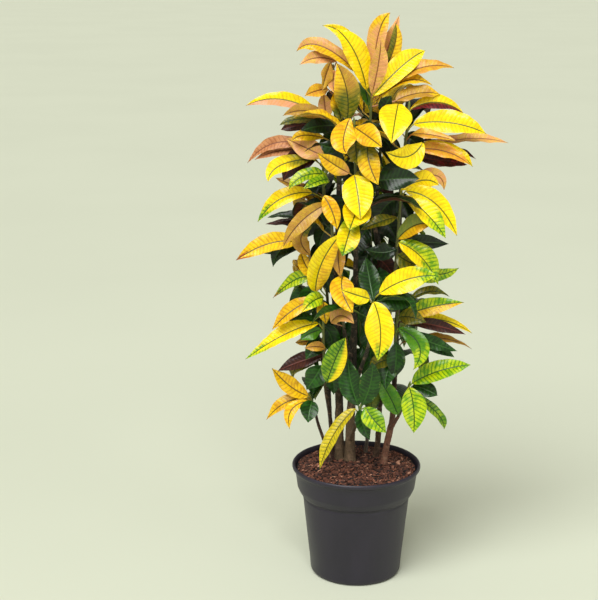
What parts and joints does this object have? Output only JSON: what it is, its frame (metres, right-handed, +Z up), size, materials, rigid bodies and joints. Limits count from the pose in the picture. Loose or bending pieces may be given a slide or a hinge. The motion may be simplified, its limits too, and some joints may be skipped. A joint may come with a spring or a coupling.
{
  "type": "potted croton",
  "caption": "Tall leafy house plant with long, veined yellow, green and dark leaves on woody trunks, standing in bark in a round plastic pot.",
  "frame": {"origin": "middle of the pot's flat underside", "axes": "+Z up the plant, -Y towards the front, +X to the right seen from the front"},
  "size_m": [0.6478, 0.4705, 1.4028],
  "materials": {
    "pot": "satin anthracite moulded plastic",
    "bark": "loose reddish-brown bark chips",
    "trunk": "rough grey-brown bark",
    "leaf": "glossy leaves, yellow, green, dark green, orange and maroon, with a contrasting midrib and veins"
  },
  "bodies": {
    "root": {"pot": "pot", "bark": "bark", "trunk_1": "trunk", "trunk_2": "trunk", "trunk_3": "trunk", "trunk_4": "trunk", "trunk_5": "trunk", "trunk_6": "trunk", "trunk_7": "trunk", "top_right": "leaf", "top_left": "leaf", "right_high": "leaf", "centre_high": "leaf", "left_high": "leaf", "centre_left": "leaf", "right_mid": "leaf", "left_mid": "leaf", "centre_mid": "leaf", "centre_low": "leaf", "left_low": "leaf", "right_low": "leaf", "right_bottom": "leaf", "left_bottom": "leaf", "centre_bottom": "leaf", "inner_low": "leaf", "inner_mid": "leaf", "back_low": "leaf", "back_left": "leaf", "back_right": "leaf", "back_high_left": "leaf", "back_high_right": "leaf"}
  },
  "joints": []
}
